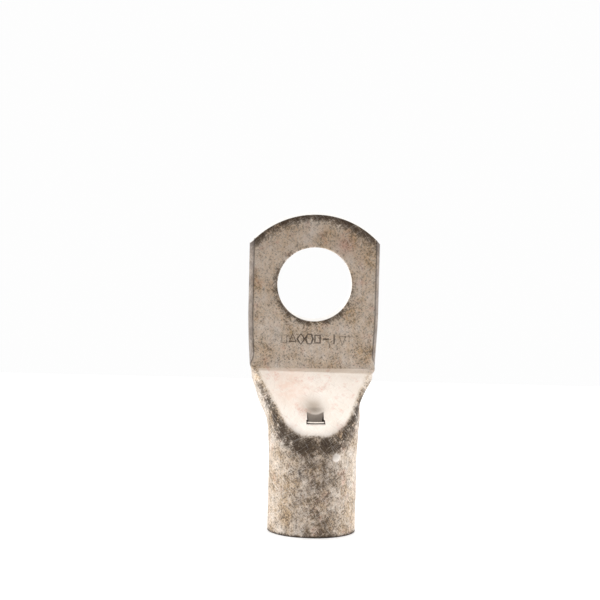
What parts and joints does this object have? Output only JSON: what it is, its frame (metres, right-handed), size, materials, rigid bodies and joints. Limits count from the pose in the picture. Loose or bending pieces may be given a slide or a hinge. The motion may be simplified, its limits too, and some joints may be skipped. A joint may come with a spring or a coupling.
{
  "type": "cable lug",
  "caption": "Tubular crimp lug of tinned copper: a round barrel for a stranded conductor, a slanted dish with a sight slot and a flat palm with a large stud hole.",
  "frame": {"origin": "middle of the barrel's mouth, on the axis of the bore", "axes": "+Z along the barrel towards the palm, +X across the palm, +Y towards the flush back face, so the dish and the stamped marks face -Y"},
  "size_m": [0.0282, 0.019, 0.068],
  "materials": {
    "tinned_copper": "dull aged tin plate over copper, with dark patina in the bends and at the sheared edges"
  },
  "bodies": {
    "root": {"cable_lug": "tinned_copper"}
  },
  "joints": []
}
